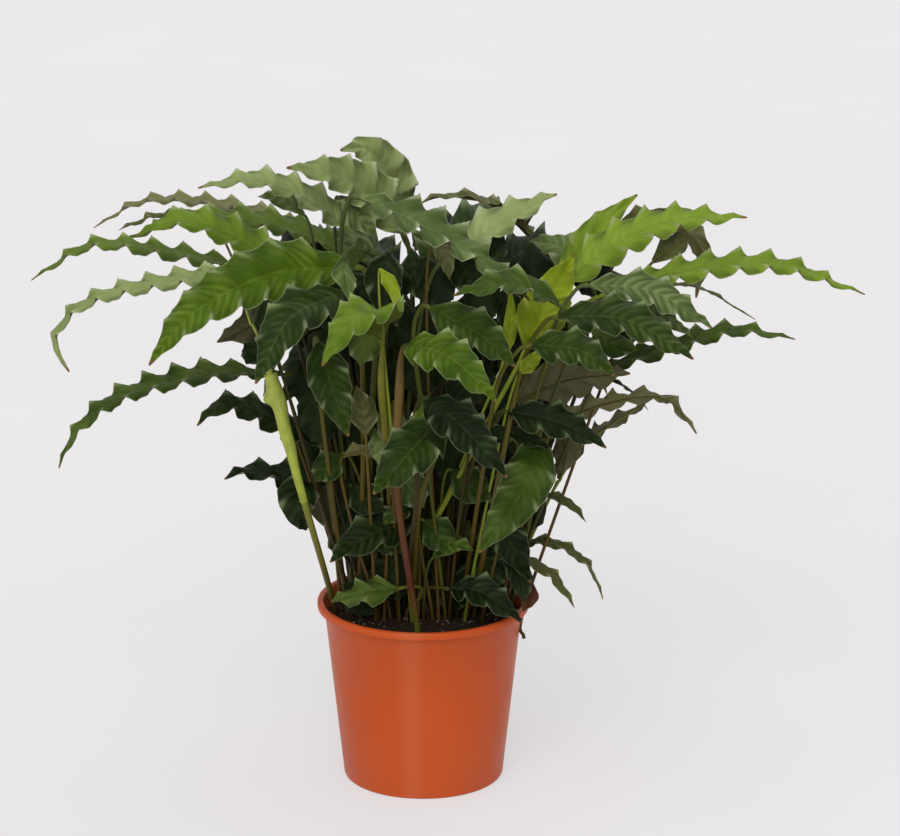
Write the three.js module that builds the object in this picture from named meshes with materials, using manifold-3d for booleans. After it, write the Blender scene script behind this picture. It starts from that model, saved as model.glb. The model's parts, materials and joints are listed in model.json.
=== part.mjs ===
// A potted blue grass calathea: long wavy leaves on slender stalks, in a plain 21 cm nursery pot.
// Units are millimetres, +Z is up, +X is to the right and +Y is away from the viewer.
// The origin is the centre of the pot's underside.

import * as THREE from "three";
import { mergeVertices } from "three/addons/utils/BufferGeometryUtils.js";
import Module from "manifold-3d";

const wasm = await Module();
wasm.setup();

// Pot
const RIM_RADIUS = 105;
const POT_HEIGHT = 183;
const LIP_HEIGHT = 7.5;
const LIP_OVERHANG = 6;
const LIP_ROUND = 1.8;
const FOOT_RADIUS = 79;
const FOOT_ROUND = 3;
const WALL = 2;
const BASE_THICKNESS = 2.5;
const POT_SIDES = 40;
const DRAIN_HOLES = 6;
const DRAIN_HOLE_RADIUS = 5;
const DRAIN_CIRCLE_RADIUS = 52;
const DRAIN_HOLE_SIDES = 8;

// Soil
const SOIL_TOP = 168;
const SOIL_CROWN = 3;
const SOIL_SIDES = 24;
const GAP = 0.35;

// Stalks
const ROOT_DEPTH = 24;
const COLLAR = 8;
const ROOT_SPACING = 12.2;
const TWIN_SPACING = 13.5;
const LINK_DROP = 6;
const ROOT_CIRCLE = 87;
const ROOT_SHARE = 0.42;
const ROOT_ROUNDS = 400;
const TRADE_EVERY = 40;
const BARE_FRONT = -7;
const STALK_BEND = 42;
const STALK_STATIONS = [0, 0.34, 0.66, 0.87];
const STALK_FOOT_SHARE = 0.044;
const STALK_NECK_SHARE = 0.028;
const STALK_LEAST = 0.7;
const NARROW_BLADE = 22;
const SHEATH_FOOT = 0.6;
const SHEATH_RISE = 0.5;
const SHEATH_TOP = 0.8;
const GROOVE = 0.45;

// Blades
const WAVE_LENGTH = 29;
const REAR_WAVE_LENGTH = 39;
const WAVE_HEIGHT_SHARE = 0.13;
const TROUGH_SHARE = 0.75;
const BLADE_HALF_THICKNESS = 0.4;
const MIDRIB_BELOW = 1;
const VEIN_SLANT = 0.32;
const CUP = [0.02, 0.3];
const LIFT = [0.85, 1.15];
const FACE_CARRY = 0.6;
const BASE_SHARE = 0.24;
const BLUNTNESS = 0.6;
const WIDEST = 0.28;
const TIP_DRAW = 1.8;
const TIP_HALF_WIDTH = 1;
const NECK_HALF_WIDTH = 3;

// Shoots placed by a rule: those inside the crown, and the fan of them behind
const INNER_SPACING = 45;
const REAR_SHOOTS = 7;
const HIGH_FAN = 118;
const LOW_FAN = 95;
const REAR_LENGTHS = [185, 215];

// Clearance between leaves: where two of them cross, one is bent nearer to the viewer and one away.
const CLEARANCE = 7;
const STALK_CLEARANCE = 3;
const BEND_REACH = 55;
const FOOT_STIFF = 60;
const BEND_ROUNDS = 260;
const PATIENCE = 70;
const PUSH_SHARE = 0.35;
const LEAST_PUSH = 0.3;
const MOST_PUSH = 4;
const RUNS_ALONG = 0.75;
const CROSSES = 0.4;
const VIEW_DROP = THREE.MathUtils.degToRad(17);
const SIGHT = new THREE.Vector3(0, Math.cos(VIEW_DROP), -Math.sin(VIEW_DROP));
const UP = new THREE.Vector3(0, 0, 1);

// A small seeded generator, so that every build draws the same leaves.
let seed = 20731;
function random(low = 0, high = 1) {
  seed = (seed + 0x6d2b79f5) | 0;
  let t = Math.imul(seed ^ (seed >>> 15), 1 | seed);
  t = (t + Math.imul(t ^ (t >>> 7), 61 | t)) ^ t;
  return low + (high - low) * (((t ^ (t >>> 14)) >>> 0) / 4294967296);
}

const COLOURS = {
  lime: 0x93a32c,
  young: 0x50741f,
  mid: 0x44642a,
  mature: 0x365421,
  dark: 0x253d19,
  grey: 0x62754a,
  olive: 0x666842,
};

// One row a leaf, and two rows of one name for a shoot of two leaves: name, midrib points from the blade's
// base to its tip, blade width, how far the upper face leans from level towards the viewer in degrees (over
// 90 or under 0 the underside shows), and tone; then, where the photo shows the foot or a broad sheath, the
// root's place and the sheath's radius.
const LEAVES = [
  // Left side
  leaf(
    "left_1",
    [[-155, 0, 518], [-245, -10, 541], [-320, -20, 551], [-378, -25, 517]],
    34, 8, "mid", [-72, 40],
  ),
  leaf("left_2", [[-96, 95, 529], [-200, 120, 554], [-280, 130, 555], [-329, 135, 527]], 30, 5, "olive"),
  leaf("left_3", [[-55, 50, 515], [-140, 70, 546], [-235, 75, 551], [-300, 80, 526]], 38, 15, "mid"),
  leaf("left_4", [[-120, -10, 515], [-190, -25, 565], [-235, -35, 580], [-275, -40, 565]], 42, 30, "young"),
  leaf(
    "left_5",
    [[-164, -46, 480], [-182, -54, 525], [-250, -70, 527], [-331, -85, 505], [-351, -88, 472], [-338, -90, 444]],
    32, 12, "grey", [-88, -5], 6.6,
  ),
  leaf(
    "left_6",
    [[-65, -60, 545], [-145, -110, 547], [-220, -150, 515], [-256, -173, 475]],
    60, 50, "young",
  ),
  leaf("left_7", [[-85, 5, 482], [-150, -2, 471], [-200, -12, 451]], 52, -75, "dark"),
  leaf("left_8", [[-75, -95, 525], [-125, -160, 515], [-155, -200, 465]], 50, 40, "mature"),
  leaf(
    "left_9",
    [[-135, 0, 416], [-215, -30, 422], [-300, -50, 402], [-338, -64, 371], [-352, -70, 341]],
    42, 8, "mature",
  ),
  leaf("left_10", [[-105, 20, 340], [-160, 0, 375], [-195, -15, 388], [-220, -25, 370]], 42, 25, "dark"),
  leaf("left_11", [[-90, 30, 286], [-140, 15, 301], [-175, 5, 312], [-196, -4, 308]], 44, 20, "dark"),
  leaf("left_12", [[-108, 26, 294], [-122, 8, 286], [-114, -4, 256]], 38, 60, "dark"),
  // Top
  leaf("top_1", [[-20, 100, 540], [-32, 85, 592], [-56, 62, 626], [-80, 40, 630]], 46, 60, "grey"),
  leaf("top_2", [[-20, 50, 545], [-55, 20, 595], [-90, -10, 620], [-130, -30, 630]], 50, 50, "mature"),
  leaf("top_3", [[-50, 10, 540], [-105, -10, 590], [-160, -20, 615], [-215, -30, 610]], 40, 25, "mature"),
  leaf("top_4", [[-60, -40, 604], [0, -75, 585], [50, -95, 560], [102, -108, 520]], 50, 12, "mid"),
  leaf("top_5", [[20, 0, 530], [70, 0, 565], [105, 0, 585], [130, 5, 595]], 42, 30, "grey"),
  leaf("top_6", [[85, 110, 525], [40, 100, 552], [15, 95, 567], [-5, 90, 562]], 26, 5, "olive"),
  leaf("top_7", [[165, 30, 495], [135, 60, 525], [105, 90, 525]], 34, 45, "grey"),
  leaf("top_8", [[130, -98, 514], [85, -122, 540], [30, -145, 535]], 38, 25, "mid"),
  // Centre, towards the viewer
  leaf(
    "front_1",
    [[-42, -95, 478], [-50, -150, 522], [-70, -195, 520], [-92, -225, 490]],
    48, 40, "young", [-44, -16], 4.8,
  ),
  leaf("front_2", [[-50, -60, 550], [-70, -95, 555], [-65, -115, 520]], 38, 95, "grey"),
  leaf("front_3", [[-35, -30, 545], [-40, -60, 520], [-25, -75, 485]], 36, 85, "dark"),
  leaf("front_4", [[-10, -110, 470], [35, -180, 475], [70, -225, 455]], 46, 45, "young", [-6, -65], 5.2),
  leaf("front_5", [[5, -80, 510], [50, -130, 500], [85, -165, 475]], 44, 45, "mature", [15, 10]),
  leaf("front_6", [[5, -100, 420], [40, -165, 410], [80, -205, 375]], 46, 40, "dark"),
  leaf("front_7", [[14, -95, 395], [-12, -150, 382], [-46, -185, 352]], 52, 50, "mature"),
  leaf("front_8", [[-100, -80, 470], [-85, -120, 435], [-70, -140, 395]], 40, 80, "mature"),
  leaf("front_9", [[116, -80, 376], [98, -125, 340], [54, -160, 285]], 48, 70, "mature"),
  // Young rolled leaves
  leaf("rolled", [[80, -50, 450], [85, -50, 480], [85, -50, 515]], 14, 80, "lime"),
  leaf("rolled", [[100, -50, 455], [120, -48, 500], [145, -46, 548]], 46, 75, "lime"),
  // Right side
  leaf("right_1", [[134, 10, 500], [164, 10, 553], [208, 15, 592]], 30, 55, "young"),
  leaf("right_2", [[130, -30, 510], [185, -30, 556], [245, -30, 580], [312, -30, 581]], 48, 26, "young"),
  leaf("right_3", [[145, 70, 510], [230, 80, 550], [275, 80, 520], [270, 80, 470]], 36, -50, "olive"),
  leaf("right_4", [[170, -45, 507], [255, -55, 536], [340, -60, 543], [424, -65, 514]], 44, 14, "young"),
  leaf("right_5", [[160, -70, 525], [220, -95, 525], [275, -115, 495]], 40, 35, "grey"),
  leaf("right_6", [[165, 20, 485], [260, 20, 500], [325, 20, 465]], 12, 0, "olive"),
  leaf("right_7", [[130, -110, 505], [195, -145, 510], [255, -170, 480]], 46, 35, "mature"),
  leaf(
    "right_8",
    [[165, -20, 423], [250, -30, 455], [305, -35, 470], [360, -40, 462]],
    38, 12, "mature", [84, 2],
  ),
  leaf("right_9", [[105, -120, 480], [150, -160, 485], [180, -190, 470]], 38, 45, "mature"),
  leaf("right_10", [[90, -40, 400], [140, -55, 425], [200, -65, 435]], 50, -70, "dark"),
  leaf("right_11", [[105, -10, 355], [175, -30, 393], [235, -40, 402], [266, -45, 368]], 40, -35, "olive"),
  leaf(
    "right_12",
    [[135, 20, 300], [150, 20, 330], [185, 25, 355], [230, 25, 385]],
    30, -30, "dark", [80, 20],
  ),
  leaf("right_13", [[80, -80, 400], [135, -120, 400], [175, -145, 385]], 40, 35, "dark"),
  // Low leaves
  leaf("low_1", [[-20, -20, 275], [-55, -60, 270], [-90, -85, 250]], 44, 40, "dark"),
  leaf("low_2", [[-25, -35, 208], [-55, -50, 208], [-90, -52, 198]], 36, 25, "mature", [-16, -24]),
  leaf("low_3", [[15, -30, 206], [55, -65, 212], [97, -92, 190]], 38, 30, "dark", [4, -22]),
  leaf("low_4", [[75, 20, 229], [125, 10, 238], [162, 0, 219], [178, -5, 184]], 18, 10, "olive"),
  leaf("low_5", [[60, -30, 295], [85, -70, 265], [105, -90, 230]], 38, 70, "dark"),
  ...innerShoots(),
  ...rearShoots(),
];

function leaf(name, rib, width, lean, tone, root, sheath) {
  return { name: "leaf_" + name, rib, width, lean, tone, root, sheath };
}

// The dark leaves inside the crown, which hang behind the stalks: a high one and a low one to each shoot.
function innerShoots() {
  return [-1, 0, 1].flatMap((side) => {
    const x = INNER_SPACING * side;
    const out = side || 0.4;
    const name = "inner_" + (side + 2);
    const high = [[x, 50 - 10 * side, 440], [x + 55 * out, 60, 425], [x + 95 * out, 70, 365]];
    const low = [[x - 5, 55, 330], [x - 40 * out, 70, 305], [x - 62 * out, 78, 245]];
    return [leaf(name, high, 54, 60, "dark"), leaf(name, low, 50, 65, "dark")];
  });
}

// The shoots behind fan out over the rear half of the pot, each with a high leaf and a lower, drooping one.
function rearShoots() {
  const rows = [];
  for (let i = 0; i < REAR_SHOOTS; i++) {
    const turn = (i + 0.5) / REAR_SHOOTS - 0.5;
    const name = "rear_" + (i + 1);
    const tone = i % 2 ? "mature" : "dark";
    const low = i % 2 ? 330 : 410;
    rows.push(rearLeaf(name, 90 - HIGH_FAN * turn, 70, 500, random(35, 60), tone));
    rows.push(rearLeaf(name, 90 - LOW_FAN * turn, 78, low, random(70, 100), tone));
  }
  return rows;
}

// A leaf that leaves the pot at this heading in degrees, this far out and high up, and droops at its tip.
function rearLeaf(name, heading, start, height, droop, tone) {
  const angle = THREE.MathUtils.degToRad(heading + random(-5, 5));
  const length = random(...REAR_LENGTHS);
  const along = (share, rise) => [
    Math.cos(angle) * (start + length * share),
    Math.sin(angle) * (start + length * share),
    height + rise,
  ];
  const rib = [along(0, 0), along(0.42, 20), along(0.78, -0.3 * droop), along(0.96, -droop)];
  return leaf(name, rib, random(46, 54), random(8, 30), tone);
}

const vector = (p) => new THREE.Vector3(...p);

// Each stalk stands under its blade, as far out as the pot allows, and roots keep a few millimetres apart.
// The soil at the front is bare but for the stalks with a root of their own in the table.
function placeRoots(leaves) {
  const settle = (root) => {
    root.y = Math.max(root.y, BARE_FRONT);
    return root.clampLength(0, ROOT_CIRCLE);
  };
  const roots = leaves.map(({ root, rib: [[x, y]] }) =>
    root ? new THREE.Vector2(...root) : settle(new THREE.Vector2(x, y).multiplyScalar(ROOT_SHARE)),
  );
  const twins = leaves.map(({ name }, i) => i > 0 && leaves[i - 1].name === name);
  for (let round = 0; round < ROOT_ROUNDS; round++) {
    roots.forEach((a, i) => {
      roots.slice(i + 1).forEach((b, k) => {
        const apart = new THREE.Vector2().subVectors(b, a);
        const lack = ROOT_SPACING - apart.length();
        if (lack <= 0) return;
        apart.setLength(lack / 2);
        if (!leaves[i].root) settle(a.sub(apart));
        if (!leaves[i + 1 + k].root) settle(b.add(apart));
      });
    });
    roots.forEach((root, i) => {
      if (twins[i]) settle(root.sub(roots[i - 1]).setLength(TWIN_SPACING).add(roots[i - 1]));
    });
    if (round % TRADE_EVERY === 0) tradePlaces(leaves, roots);
  }
  return roots;
}

// Two leaves trade roots wherever that lets their stalks run with less crossing.
function tradePlaces(leaves, roots) {
  const twin = leaves.map(({ name }, i) => leaves.some((other, j) => j !== i && other.name === name));
  const necks = leaves.map(({ rib: [[x, y]] }) => new THREE.Vector2(x, y));
  const free = [...leaves.keys()].filter((i) => !leaves[i].root && !twin[i]);
  for (const i of free) {
    for (const j of free) {
      const rootsApart = new THREE.Vector2().subVectors(roots[j], roots[i]);
      const necksApart = new THREE.Vector2().subVectors(necks[i], necks[j]);
      if (rootsApart.dot(necksApart) > 0) [roots[i], roots[j]] = [roots[j], roots[i]];
    }
  }
}

// Half of a blade's width at a share t of its length: a blunt base and a long drawn-out tip.
function outline(t) {
  const base = Math.min(1, t / BASE_SHARE) ** BLUNTNESS;
  const tip = t > WIDEST ? 1 - ((t - WIDEST) / (1 - WIDEST)) ** TIP_DRAW : 1;
  return Math.max(0, base * tip);
}

// The centres of a leaf's rings, from the foot of its stalk to the tip of its blade.
function layLeaf(row, root) {
  const rib = new THREE.CatmullRomCurve3(row.rib.map(vector), false, "centripetal");
  const waveLength = row.name.includes("rear") ? REAR_WAVE_LENGTH : WAVE_LENGTH;
  const waves = Math.max(3, Math.round(rib.getLength() / waveLength));
  const bladeSteps = 2 * waves;
  const foot = new THREE.Vector3(root.x, root.y, SOIL_TOP + COLLAR);
  const neck = rib.getPointAt(0);
  const bend = neck.clone().addScaledVector(rib.getTangentAt(0), -STALK_BEND);
  const stalk = new THREE.CubicBezierCurve3(foot, foot.clone().lerp(bend, 0.5), bend, neck);
  const rings = [{ centre: new THREE.Vector3(root.x, root.y, SOIL_TOP - ROOT_DEPTH), stalk: true, u: 0 }];
  for (const u of STALK_STATIONS) rings.push({ centre: stalk.getPoint(u), stalk: true, u });
  for (let k = 0; k <= bladeSteps; k++) {
    rings.push({ centre: rib.getPointAt(k / bladeSteps), stalk: false, t: k / bladeSteps, k });
  }
  return { row, rings, bladeSteps, cup: random(...CUP), lift: random(...LIFT) };
}

// The size of each ring: a stalk's radius, or a blade's half width with its wave.
function sizeRings(made) {
  const { row, rings, bladeSteps, lift } = made;
  for (const ring of rings) {
    if (ring.stalk) {
      const share = THREE.MathUtils.lerp(STALK_FOOT_SHARE, STALK_NECK_SHARE, Math.max(0, ring.u - 0.3));
      ring.radius = STALK_LEAST + share * Math.max(row.width, NARROW_BLADE);
      if (row.sheath && ring.u < SHEATH_TOP) ring.radius = row.sheath * (SHEATH_FOOT + SHEATH_RISE * ring.u);
      continue;
    }
    const half = (row.width / 2) * outline(ring.t);
    ring.half = Math.max(half, ring.k === 0 ? NECK_HALF_WIDTH : TIP_HALF_WIDTH);
    const ends = Math.min(1, ring.t / 0.12) * Math.min(1, (1 - ring.t) / 0.1);
    const height = (row.width / 2 + ring.half) * WAVE_HEIGHT_SHARE * lift * ends;
    const free = ring.k > 0 && ring.k < bladeSteps;
    ring.wave = free ? (ring.k % 2 ? height : -height * TROUGH_SHARE) : 0;
    ring.slant = free ? VEIN_SLANT * ring.half : 0;
  }
}

// The direction, the upper face and the side of each ring. A stalk's rings take theirs from the blade.
function turnRings(made) {
  const { rings, row } = made;
  const lean = THREE.MathUtils.degToRad(row.lean);
  const hint = new THREE.Vector3(0, -Math.sin(lean), Math.cos(lean));
  rings.forEach((ring, i) => {
    const before = rings[Math.max(0, i - 1)].centre;
    const after = rings[Math.min(rings.length - 1, i + 1)].centre;
    ring.along = new THREE.Vector3().subVectors(after, before).normalize();
  });
  const square = (face, along) => face.addScaledVector(along, -face.dot(along));
  const first = rings.findIndex((ring) => !ring.stalk);
  rings[first].face = square(hint.clone(), rings[first].along).normalize();
  for (let i = first + 1; i < rings.length; i++) {
    const carried = square(rings[i - 1].face.clone(), rings[i].along).normalize();
    rings[i].face = square(hint.clone(), rings[i].along).addScaledVector(carried, FACE_CARRY).normalize();
  }
  for (let i = first - 1; i >= 0; i--) {
    rings[i].face = square(rings[i + 1].face.clone(), rings[i].along).normalize();
  }
  for (const ring of rings) ring.side = new THREE.Vector3().crossVectors(ring.along, ring.face);
}

const place = (ring, side, face, along = 0) =>
  ring.centre
    .clone()
    .addScaledVector(ring.side, side)
    .addScaledVector(ring.face, face)
    .addScaledVector(ring.along, along);

// The left margin, midrib and right margin of a blade's ring, in the middle of its thickness.
function spanOf(ring, cup) {
  const rise = ring.wave + cup * ring.half;
  return [place(ring, -ring.half, rise, ring.slant), ring.centre, place(ring, ring.half, rise, ring.slant)];
}

// Points spread over a leaf, each with its own radius and the ring it belongs to.
function samplesOf(made, index) {
  const points = [];
  const add = (position, radius, ring) => points.push({ position, radius, ring, leaf: index });
  made.rings.slice(1).forEach((ring, i) => {
    const last = made.rings[i];
    if (ring.stalk || last.stalk) {
      const steps = Math.max(1, Math.round(ring.centre.distanceTo(last.centre) / 5));
      const radius = ring.radius ?? last.radius;
      for (let s = 0; s < steps; s++) {
        const nearer = s < steps / 2 ? i : i + 1;
        add(last.centre.clone().lerp(ring.centre, (s + 0.5) / steps), radius, Math.max(2, nearer));
      }
      return;
    }
    const [a, b] = [spanOf(last, made.cup), spanOf(ring, made.cup)];
    const across = Math.max(1, Math.round(ring.half / 6));
    for (const share of [0.17, 0.5, 0.83]) {
      const [left, middle, right] = a.map((p, j) => p.clone().lerp(b[j], share));
      for (let s = -across; s <= across; s++) {
        const edge = s < 0 ? left : right;
        add(middle.clone().lerp(edge, Math.abs(s) / across), 0, share < 0.5 ? i : i + 1);
      }
    }
  });
  return points;
}

// Every pair of points of different leaves that are closer than their clearance.
function contactsOf(points) {
  const cell = 2 * CLEARANCE;
  const grid = new Map();
  const key = (x, y, z) => (x * 1024 + y) * 1024 + z;
  const cellOf = (p) => [p.x, p.y, p.z].map((v) => Math.floor(v / cell) + 512);
  for (const point of points) {
    const id = key(...cellOf(point.position));
    if (!grid.has(id)) grid.set(id, []);
    grid.get(id).push(point);
  }
  const contacts = [];
  for (const a of points) {
    const [x, y, z] = cellOf(a.position);
    for (let i = x - 1; i <= x + 1; i++) {
      for (let j = y - 1; j <= y + 1; j++) {
        for (let k = z - 1; k <= z + 1; k++) {
          for (const b of grid.get(key(i, j, k)) ?? []) {
            if (b.leaf <= a.leaf) continue;
            const stalks = a.radius > 0 && b.radius > 0;
            const room = a.radius + b.radius + (stalks ? STALK_CLEARANCE : CLEARANCE);
            if (a.position.distanceToSquared(b.position) < room * room) contacts.push({ a, b, room });
          }
        }
      }
    }
  }
  return contacts;
}

// Names the two things that touch: the stalk or the blade of one leaf, and of the other.
const pairOf = ({ a, b }) => `${a.leaf} ${a.radius > 0} ${b.leaf} ${b.radius > 0}`;

// The way to part two crossing things: along the line of sight, which keeps them where they are seen, or
// square to both where one of them runs along it.
function wayBetween(a, b) {
  const runs = [a, b].map(({ along }) => Math.abs(along.dot(SIGHT)));
  if (Math.max(...runs) < RUNS_ALONG) return SIGHT.clone();
  const across = new THREE.Vector3().crossVectors(a.along, b.along);
  return across.length() > CROSSES ? across.normalize() : a.face.clone();
}

// Bends crossing leaves apart. Two stalks part straight away from each other; of any other pair, one passes
// in front of the other, above or below it, whichever is nearer when they first touch.
function bendClear(leaves) {
  const ways = new Map();
  const waits = new Map();
  for (let round = 0; round < BEND_ROUNDS; round++) {
    leaves.forEach(turnRings);
    const contacts = contactsOf(leaves.flatMap(samplesOf));
    if (!contacts.length) break;
    const touching = new Map();
    for (const contact of contacts) {
      const pair = pairOf(contact);
      if (!touching.has(pair)) touching.set(pair, []);
      touching.get(pair).push(contact);
    }
    for (const [pair, list] of touching) {
      waits.set(pair, (waits.get(pair) ?? 0) + 1);
      if (waits.get(pair) % PATIENCE === 0) ways.get(pair).negate();
      if (ways.has(pair)) continue;
      const { a, b } = list[Math.floor(list.length / 2)];
      const way = wayBetween(leaves[a.leaf].rings[a.ring], leaves[b.leaf].rings[b.ring]);
      const sum = list.reduce((total, { a, b }) => total + b.position.clone().sub(a.position).dot(way), 0);
      ways.set(pair, way.multiplyScalar(Math.sign(sum) || 1));
    }
    const pushes = leaves.map(({ rings }) => rings.map(() => []));
    for (const [pair, list] of touching) {
      for (const { a, b, room } of list) {
        const apart = b.position.clone().sub(a.position);
        const stalks = a.radius > 0 && b.radius > 0;
        const lack = room - (stalks ? apart.length() : apart.dot(ways.get(pair)));
        const push = stalks ? apart.setZ(0) : ways.get(pair).clone();
        push.setLength(THREE.MathUtils.clamp(PUSH_SHARE * lack, LEAST_PUSH, MOST_PUSH));
        pushes[b.leaf][b.ring].push(push);
        pushes[a.leaf][a.ring].push(push.clone().negate());
      }
    }
    leaves.forEach((made, i) => bendLeaf(made, pushes[i]));
  }
}

// Moves a leaf's rings near each push, less the further they are from it, and its rooted foot not at all.
function bendLeaf(made, pushes) {
  const { rings } = made;
  const length = [0];
  rings.slice(1).forEach((ring, i) => length.push(length[i] + ring.centre.distanceTo(rings[i].centre)));
  const means = pushes.map((list) => {
    const strongest = Math.max(0, ...list.map((push) => push.length()));
    return list.reduce((sum, push) => sum.add(push), new THREE.Vector3()).clampLength(0, strongest);
  });
  const moves = rings.map((ring, i) => {
    const [move, weight] = [new THREE.Vector3(), new THREE.Vector3()];
    means.forEach((push, j) => {
      if (push.lengthSq() === 0) return;
      const fade = Math.exp(-(((length[i] - length[j]) / BEND_REACH) ** 2));
      move.addScaledVector(push, fade);
      weight.x += fade;
    });
    const free = Math.min(1, Math.max(0, length[i] - length[1]) / FOOT_STIFF);
    return move.multiplyScalar(free / Math.max(1, weight.x));
  });
  rings.forEach((ring, i) => ring.centre.add(moves[i]));
}

// The six corners of a ring, in order: upper left, upper middle, upper right, then the same below.
function cornersOf(ring, cup) {
  if (ring.stalk) {
    const at = (degrees, share = 1) => {
      const angle = THREE.MathUtils.degToRad(degrees);
      return place(ring, Math.cos(angle) * ring.radius, Math.sin(angle) * ring.radius * share);
    };
    return [at(150), at(90, GROOVE), at(30), at(330), at(270), at(210)];
  }
  const rise = ring.wave + cup * ring.half;
  const thick = BLADE_HALF_THICKNESS;
  return [
    place(ring, -ring.half, rise + thick, ring.slant),
    place(ring, 0, thick),
    place(ring, ring.half, rise + thick, ring.slant),
    place(ring, ring.half, rise - thick, ring.slant),
    place(ring, 0, ring.k ? -MIDRIB_BELOW : -2 * MIDRIB_BELOW),
    place(ring, -ring.half, rise - thick, ring.slant),
  ];
}

// Skins rings of six corners, both faces split alike so that a wave never cuts through itself.
function skin(ringCorners, turns = []) {
  const positions = ringCorners.flat().flatMap((p) => [p.x, p.y, p.z]);
  const index = [];
  const towardsMiddle = [true, false, false, true, false, false];
  for (let r = 0; r + 1 < ringCorners.length; r++) {
    for (let j = 0; j < 6; j++) {
      const [a, b] = [r * 6 + j, r * 6 + ((j + 1) % 6)];
      const turn = turns[r] ?? 0;
      const [c, d] = [j, j + 1].map((corner) => r * 6 + 6 + ((corner + turn) % 6));
      if (towardsMiddle[j]) index.push(a, d, c, a, b, d);
      else index.push(a, b, c, b, d, c);
    }
  }
  const last = (ringCorners.length - 1) * 6;
  for (const j of [2, 3, 4, 5]) {
    index.push(1, (j + 1) % 6, j);
    index.push(last + 1, last + j, last + ((j + 1) % 6));
  }
  const geometry = new THREE.BufferGeometry();
  geometry.setAttribute("position", new THREE.Float32BufferAttribute(positions, 3));
  geometry.setIndex(index);
  return geometry;
}

// How far to turn a ring's corners so that they meet those of the ring before.
function turnBetween(from, to) {
  const spread = (turn) => from.reduce((sum, p, j) => sum + p.distanceToSquared(to[(j + turn) % 6]), 0);
  return [0, 1, 2, 3, 4, 5].reduce((best, turn) => (spread(turn) < spread(best) ? turn : best));
}

// The elbow below the soil that joins the two stalks of a shoot: one hexagon halfway between their feet.
function linkCorners(a, b) {
  const way = new THREE.Vector3().subVectors(b.centre, a.centre).normalize();
  const radius = Math.min(a.radius, b.radius);
  const centre = a.centre.clone().lerp(b.centre, 0.5);
  centre.z -= LINK_DROP;
  const side = new THREE.Vector3().crossVectors(way, UP);
  return [150, 90, 30, 330, 270, 210].map((degrees) => {
    const angle = THREE.MathUtils.degToRad(degrees);
    const p = centre.clone().addScaledVector(side, Math.cos(angle) * radius);
    return p.addScaledVector(UP, Math.sin(angle) * radius);
  });
}

// A shoot runs from the tip of one leaf down its stalk, through the soil, and up the other stalk to its
// tip.
function shootSkin([first, second]) {
  const cornersAlong = ({ rings, cup }) => rings.map((ring) => cornersOf(ring, cup));
  const rising = cornersAlong(second ?? first);
  if (!second) return skin(rising);
  const falling = cornersAlong(first)
    .reverse()
    .map(([a, b, c, d, e, f]) => [c, b, a, f, e, d]);
  const link = linkCorners(first.rings[0], second.rings[0]);
  const down = turnBetween(falling.at(-1), link);
  const up = turnBetween(link, rising[0]);
  const turns = [];
  turns[falling.length - 1] = down;
  turns[falling.length] = up;
  return skin([...falling, link, ...rising], turns);
}

function solidOf(geometry) {
  const bare = geometry.clone();
  bare.deleteAttribute("normal");
  bare.deleteAttribute("uv");
  const merged = mergeVertices(bare, 1e-4);
  const vertProperties = merged.attributes.position.array;
  const triVerts = new Uint32Array(merged.index.array);
  return new wasm.Manifold(new wasm.Mesh({ numProp: 3, vertProperties, triVerts }));
}

function geometryOf(solid) {
  const mesh = solid.getMesh();
  const geometry = new THREE.BufferGeometry();
  geometry.setAttribute("position", new THREE.BufferAttribute(mesh.vertProperties, 3));
  geometry.setIndex(new THREE.BufferAttribute(mesh.triVerts, 1));
  return geometry;
}

function meshOf(name, geometry, colour, roughness) {
  const flat = geometry.toNonIndexed();
  flat.computeVertexNormals();
  const material = new THREE.MeshStandardMaterial({ color: colour, roughness, metalness: 0 });
  const mesh = new THREE.Mesh(flat, material);
  mesh.name = name;
  return mesh;
}

// A lathe turns about Y, so its axis is stood up on Z.
function turned(profile, sides) {
  const points = profile.map(([r, z]) => new THREE.Vector2(r, z));
  return new THREE.LatheGeometry(points, sides).rotateX(Math.PI / 2);
}

const wallRadius = (z) => FOOT_RADIUS + ((RIM_RADIUS - LIP_OVERHANG - FOOT_RADIUS) * z) / POT_HEIGHT;

function pot() {
  const lipUnder = POT_HEIGHT - LIP_HEIGHT;
  const shell = solidOf(
    turned(
      [
        [0, 0],
        [FOOT_RADIUS - FOOT_ROUND, 0],
        [FOOT_RADIUS - 0.3 * FOOT_ROUND, 0.3 * FOOT_ROUND],
        [wallRadius(FOOT_ROUND), FOOT_ROUND],
        [wallRadius(lipUnder), lipUnder],
        [RIM_RADIUS - 0.5 * LIP_ROUND, lipUnder],
        [RIM_RADIUS, lipUnder + 0.6 * LIP_ROUND],
        [RIM_RADIUS, POT_HEIGHT - LIP_ROUND],
        [RIM_RADIUS - LIP_ROUND, POT_HEIGHT],
        [wallRadius(POT_HEIGHT) + LIP_ROUND, POT_HEIGHT],
        [wallRadius(POT_HEIGHT) - 0.25 * WALL, POT_HEIGHT - LIP_ROUND],
        [wallRadius(BASE_THICKNESS) - WALL, BASE_THICKNESS],
        [0, BASE_THICKNESS],
      ],
      POT_SIDES,
    ),
  );
  const drains = Array.from({ length: DRAIN_HOLES }, (_, i) => {
    const radius = DRAIN_HOLE_RADIUS;
    const drill = new THREE.CylinderGeometry(radius, radius, 4 * BASE_THICKNESS, DRAIN_HOLE_SIDES);
    drill.rotateX(Math.PI / 2);
    drill.translate(DRAIN_CIRCLE_RADIUS, 0, 0);
    return solidOf(drill.rotateZ((i * 2 * Math.PI) / DRAIN_HOLES));
  });
  return geometryOf(drains.reduce((made, drill) => made.subtract(drill), shell));
}

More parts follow.
